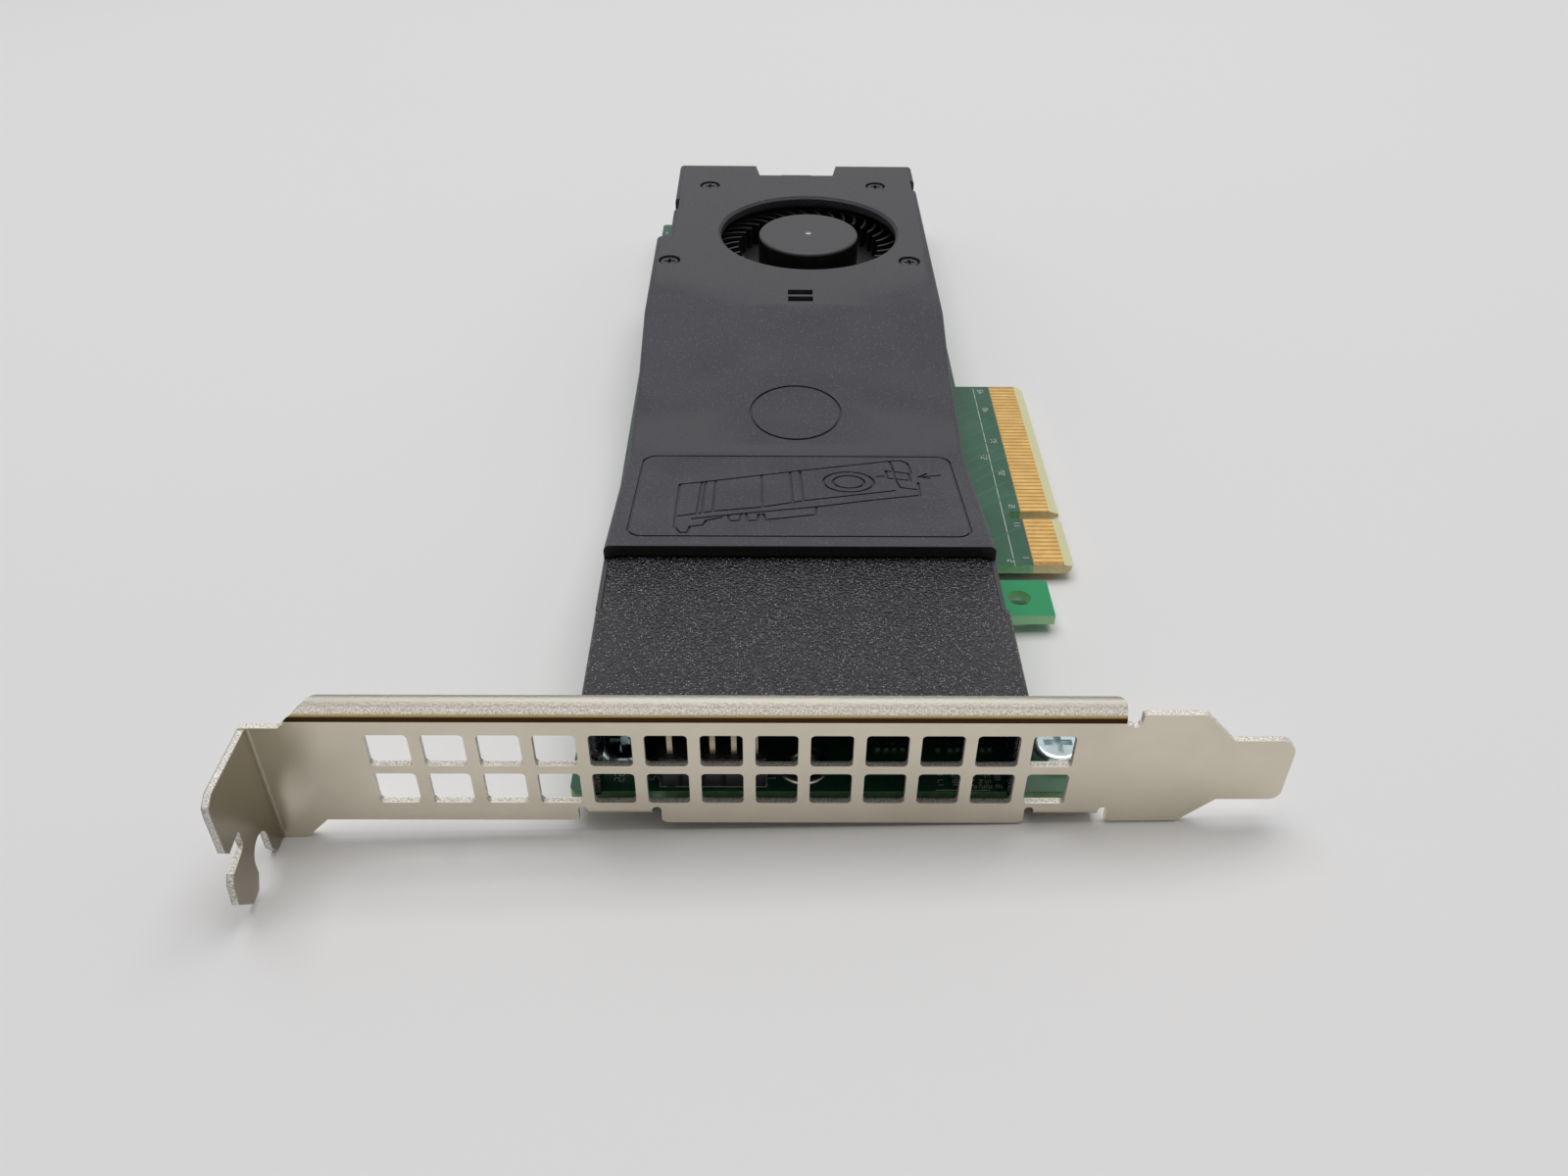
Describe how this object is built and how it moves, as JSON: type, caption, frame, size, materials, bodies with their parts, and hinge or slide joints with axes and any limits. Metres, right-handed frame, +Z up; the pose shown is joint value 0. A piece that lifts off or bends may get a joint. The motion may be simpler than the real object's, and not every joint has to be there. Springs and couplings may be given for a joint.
{
  "type": "nvme adapter card",
  "caption": "Half-length carrier card for M.2 solid-state drives: circuit board with edge connector, vented slot bracket, and clip-on moulded cover with a blower.",
  "frame": {"origin": "centre of the edge connector's key slot, on the connector's lower edge, at the board's component side", "axes": "+X out of the card into the slot, +Y from the bracket to the blower end, +Z up from the board's component side"},
  "size_m": [0.1204, 0.1828, 0.0213],
  "materials": {
    "board_laminate": "green solder mask, satin",
    "gold_plating": "gold plate, smooth",
    "nickel_sheet": "nickel-plated steel, satin",
    "zinc_screw": "zinc-plated steel",
    "black_cover": "moulded, fine leather grain",
    "black_duct": "moulded, coarse leather grain",
    "black_screw": "black oxide",
    "black_blower": "moulded, satin",
    "black_impeller": "moulded, satin",
    "ferrite": "matt, pressed",
    "hard_steel": "ground",
    "white_plastic": "moulded, satin",
    "bronze": "sintered, oiled",
    "copper_wire": "enamelled copper",
    "black_socket": "moulded, fine matt",
    "tinned_brass": "tin plate",
    "chip_plastic": "moulded epoxy, matt",
    "capacitor_ceramic": "fired ceramic",
    "resistor_body": "glazed ceramic"
  },
  "bodies": {
    "card": {"circuit_board": "board_laminate", "contact_fingers_top": "gold_plating", "contact_fingers_bottom": "gold_plating", "bracket": "nickel_sheet", "bracket_screws": "zinc_screw", "top_cover": "black_cover", "outlet_duct": "black_duct", "duct_screws": "black_screw", "blower_housing": "black_blower", "blower_lid": "black_blower", "thrust_washer": "white_plastic", "shaft_bearing": "bronze", "stator_core": "ferrite", "stator_windings": "copper_wire", "motor_board": "board_laminate", "blower_screws": "black_screw", "m2_socket_left": "black_socket", "m2_socket_right": "black_socket", "m2_socket_contacts": "gold_plating", "m2_standoffs": "tinned_brass", "m2_screws": "zinc_screw", "pin_header": "black_socket", "header_pins": "gold_plating", "plated_ring": "tinned_brass", "power_inductors": "ferrite", "power_regulators": "chip_plastic", "clock_buffer": "chip_plastic", "memory_chip": "chip_plastic", "power_capacitors": "capacitor_ceramic", "coupling_capacitors": "capacitor_ceramic", "setting_resistors": "resistor_body", "blower_socket": "white_plastic", "blower_socket_pins": "gold_plating"},
    "rotor": {"impeller": "black_impeller", "rotor_cup": "nickel_sheet", "rotor_magnet": "ferrite", "rotor_shaft": "hard_steel"}
  },
  "joints": [
    {"name": "impeller_spin", "type": "hinge", "parent": "card", "child": "rotor", "pos_m": [-0.0378, 0.07545, 0.009], "axis": [0, 0, 1], "continuous": true}
  ]
}
